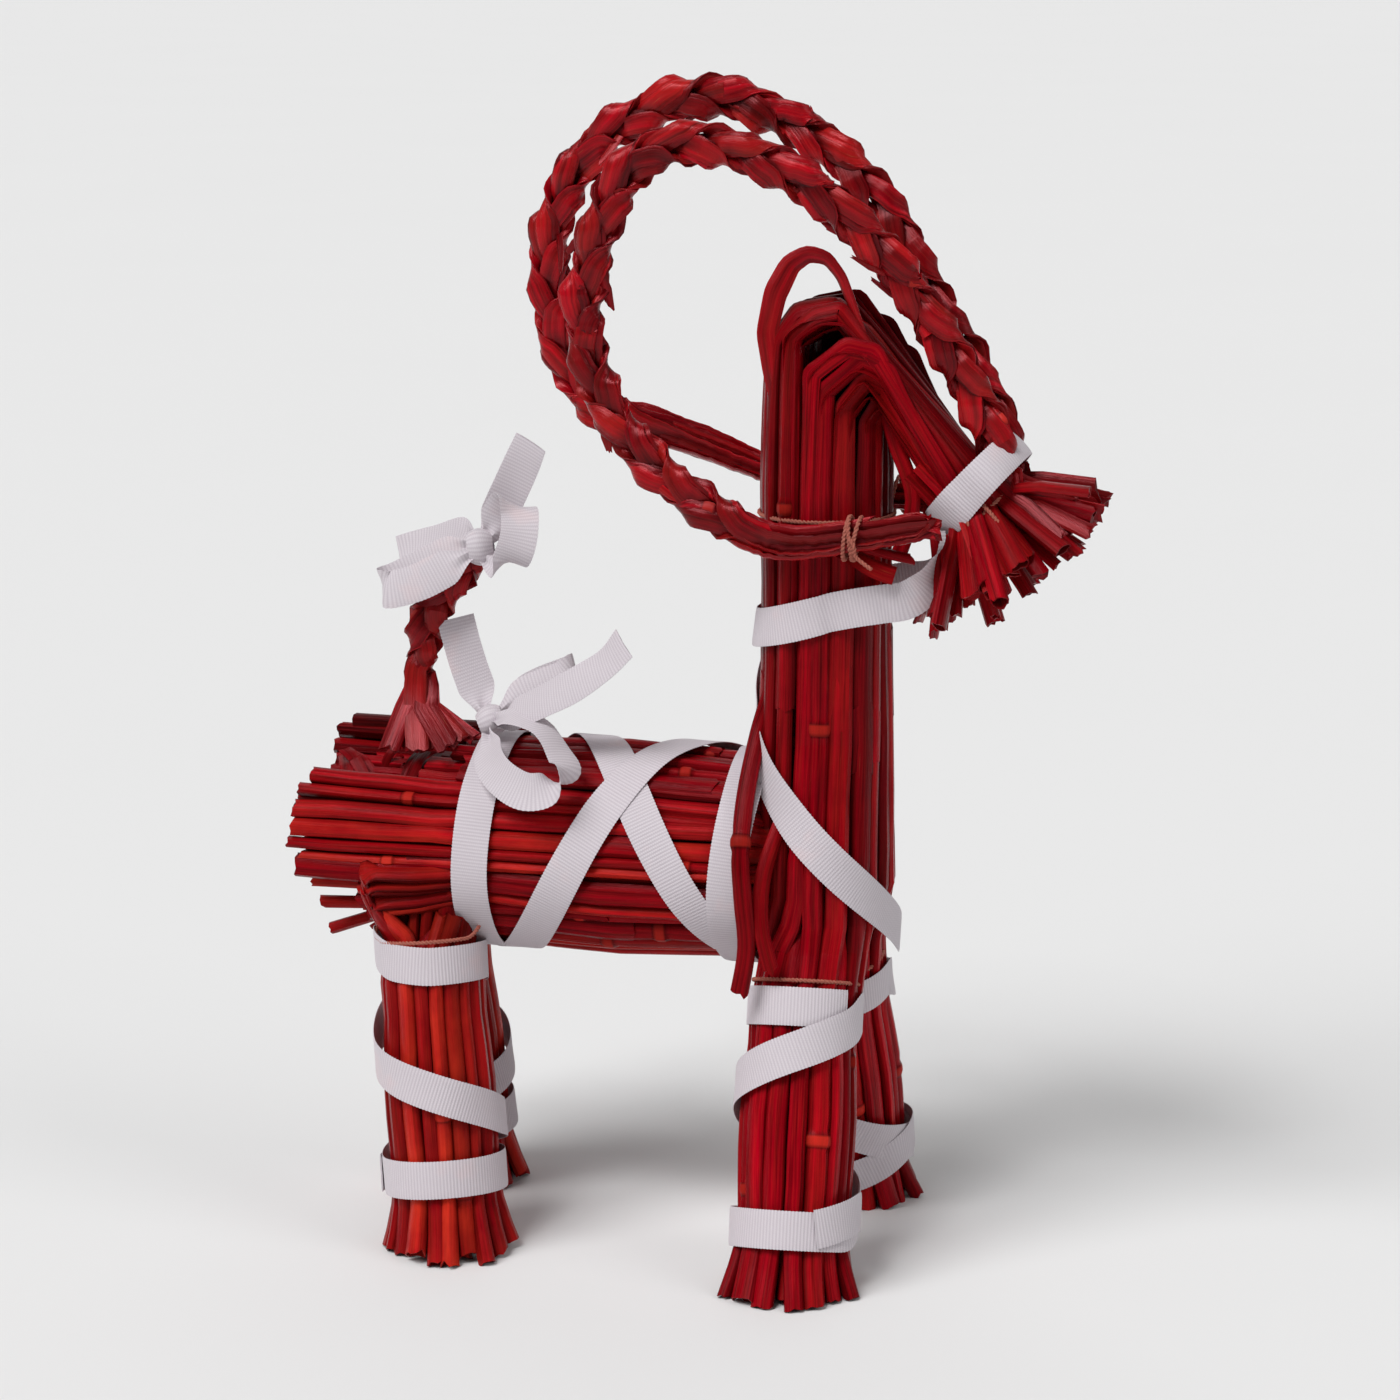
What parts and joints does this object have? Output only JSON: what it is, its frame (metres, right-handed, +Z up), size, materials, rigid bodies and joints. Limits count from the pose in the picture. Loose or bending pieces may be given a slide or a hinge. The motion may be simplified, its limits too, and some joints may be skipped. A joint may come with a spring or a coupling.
{
  "type": "straw yule goat",
  "caption": "Standing goat of bound red straw bundles with looped braided horns, a braided tail and white ribbon wraps and bows.",
  "frame": {"origin": "on the floor, under the middle of the whole goat", "axes": "+X forwards, the way the goat faces; +Y to the goat's left; +Z up"},
  "size_m": [0.2142, 0.119, 0.3088],
  "materials": {
    "straw": "satin",
    "braided_straw": "satin",
    "ribbon": "matte",
    "twine": "matte"
  },
  "bodies": {
    "root": {"body_bundle": "straw", "rump_stray_stalks": "straw", "neck_bundle": "straw", "muzzle_bundle": "straw", "crown_loop_stalk": "straw", "front_leg_right": "straw", "front_leg_left": "straw", "hind_leg_right": "straw", "hind_leg_left": "straw", "horn_right_strand_a": "braided_straw", "horn_right_strand_b": "braided_straw", "horn_right_strand_c": "braided_straw", "horn_left_strand_a": "braided_straw", "horn_left_strand_b": "braided_straw", "horn_left_strand_c": "braided_straw", "tail_strand_a": "braided_straw", "tail_strand_b": "braided_straw", "tail_strand_c": "braided_straw", "muzzle_ribbon": "ribbon", "throat_ribbon": "ribbon", "chest_ribbon": "ribbon", "body_ribbon_rear": "ribbon", "body_ribbon_front": "ribbon", "body_ribbon_cross_a": "ribbon", "body_ribbon_cross_b": "ribbon", "front_leg_ribbon_right": "ribbon", "front_leg_ribbon_left": "ribbon", "hind_leg_ribbon_right": "ribbon", "hind_leg_ribbon_left": "ribbon", "rump_bow_knot": "ribbon", "rump_bow_loop_front": "ribbon", "rump_bow_loop_back": "ribbon", "rump_bow_tail_front": "ribbon", "rump_bow_tail_back": "ribbon", "tail_bow_knot": "ribbon", "tail_bow_loop_front": "ribbon", "tail_bow_loop_back": "ribbon", "tail_bow_tail_up": "ribbon", "tail_bow_tail_back": "ribbon", "horn_tie_right": "twine", "horn_tie_left": "twine", "neck_twine": "twine", "muzzle_twine": "twine", "front_leg_tie_right": "twine", "front_leg_tie_left": "twine", "hind_leg_tie_right": "twine", "hind_leg_tie_left": "twine"}
  },
  "joints": []
}
